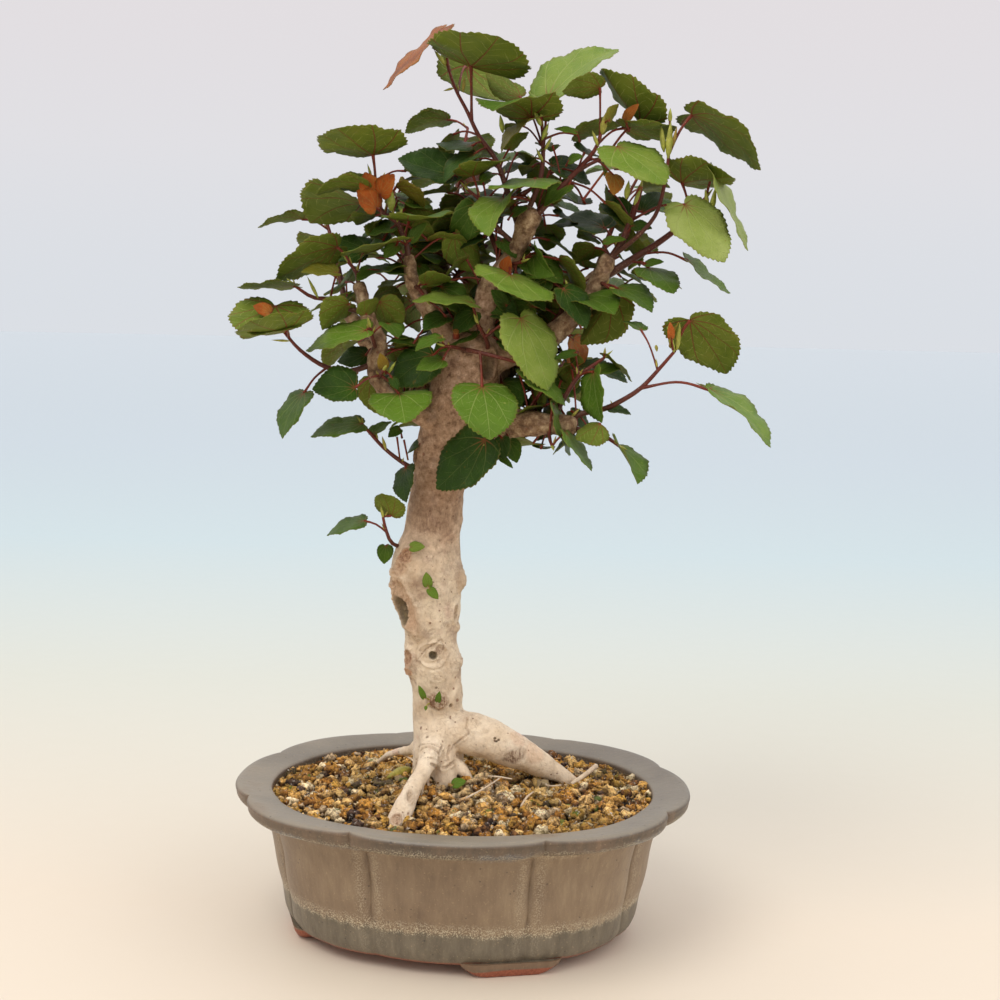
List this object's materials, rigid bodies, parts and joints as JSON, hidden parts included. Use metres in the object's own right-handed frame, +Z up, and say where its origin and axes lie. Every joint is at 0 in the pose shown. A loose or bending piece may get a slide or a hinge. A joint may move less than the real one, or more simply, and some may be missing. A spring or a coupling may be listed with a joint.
{
  "type": "sea hibiscus bonsai",
  "caption": "Broadleaf bonsai tree with a pale, scarred upright trunk, arching surface roots and heart-shaped leaves, in a low lobed oval glazed pot filled with gritty soil.",
  "frame": {"origin": "middle of the whole plant's plan, on the plane that the pot's feet stand on", "axes": "+Z up, +X along the pot's long axis to the right of the front view, +Y away from the front"},
  "size_m": [0.2802, 0.2256, 0.4746],
  "materials": {
    "glaze": "satin",
    "grit": "matte",
    "bark": "matte",
    "foliage": "satin"
  },
  "bodies": {
    "root": {"pot": "glaze", "soil": "grit", "trunk": "bark", "shoot_crownLeft": "foliage", "shoot_crownMiddle": "foliage", "shoot_crownInner": "foliage", "shoot_crownRight": "foliage", "shoot_rightUpper": "foliage", "shoot_rightLong": "foliage", "shoot_elbow": "foliage", "shoot_rightSpray": "foliage", "shoot_leftTop": "foliage", "shoot_leftFar": "foliage", "shoot_leftHook": "foliage", "shoot_leftLow": "foliage", "shoot_leftFront": "foliage", "shoot_leftInner": "foliage", "shoot_middleLeft": "foliage", "shoot_frontSpur": "foliage", "shoot_frontTwig": "foliage", "shoot_middleUpper": "foliage", "shoot_middleRight": "foliage", "shoot_lowerRightTop": "foliage", "shoot_lowerRightEnd": "foliage", "shoot_lowerRightHang": "foliage", "shoot_lowerMiddle": "foliage", "shoot_lowerLeft": "foliage", "shoot_lowest": "foliage", "shoot_backTop": "foliage", "shoot_backCrown": "foliage", "shoot_backUpperRight": "foliage", "shoot_backRight": "foliage", "shoot_backRightLow": "foliage", "shoot_backLeft": "foliage", "shoot_backLeftLow": "foliage", "shoot_backMiddle": "foliage", "shoot_innerLeft": "foliage", "shoot_innerTop": "foliage", "shoot_innerRight": "foliage", "shoot_innerLow": "foliage"}
  },
  "joints": []
}
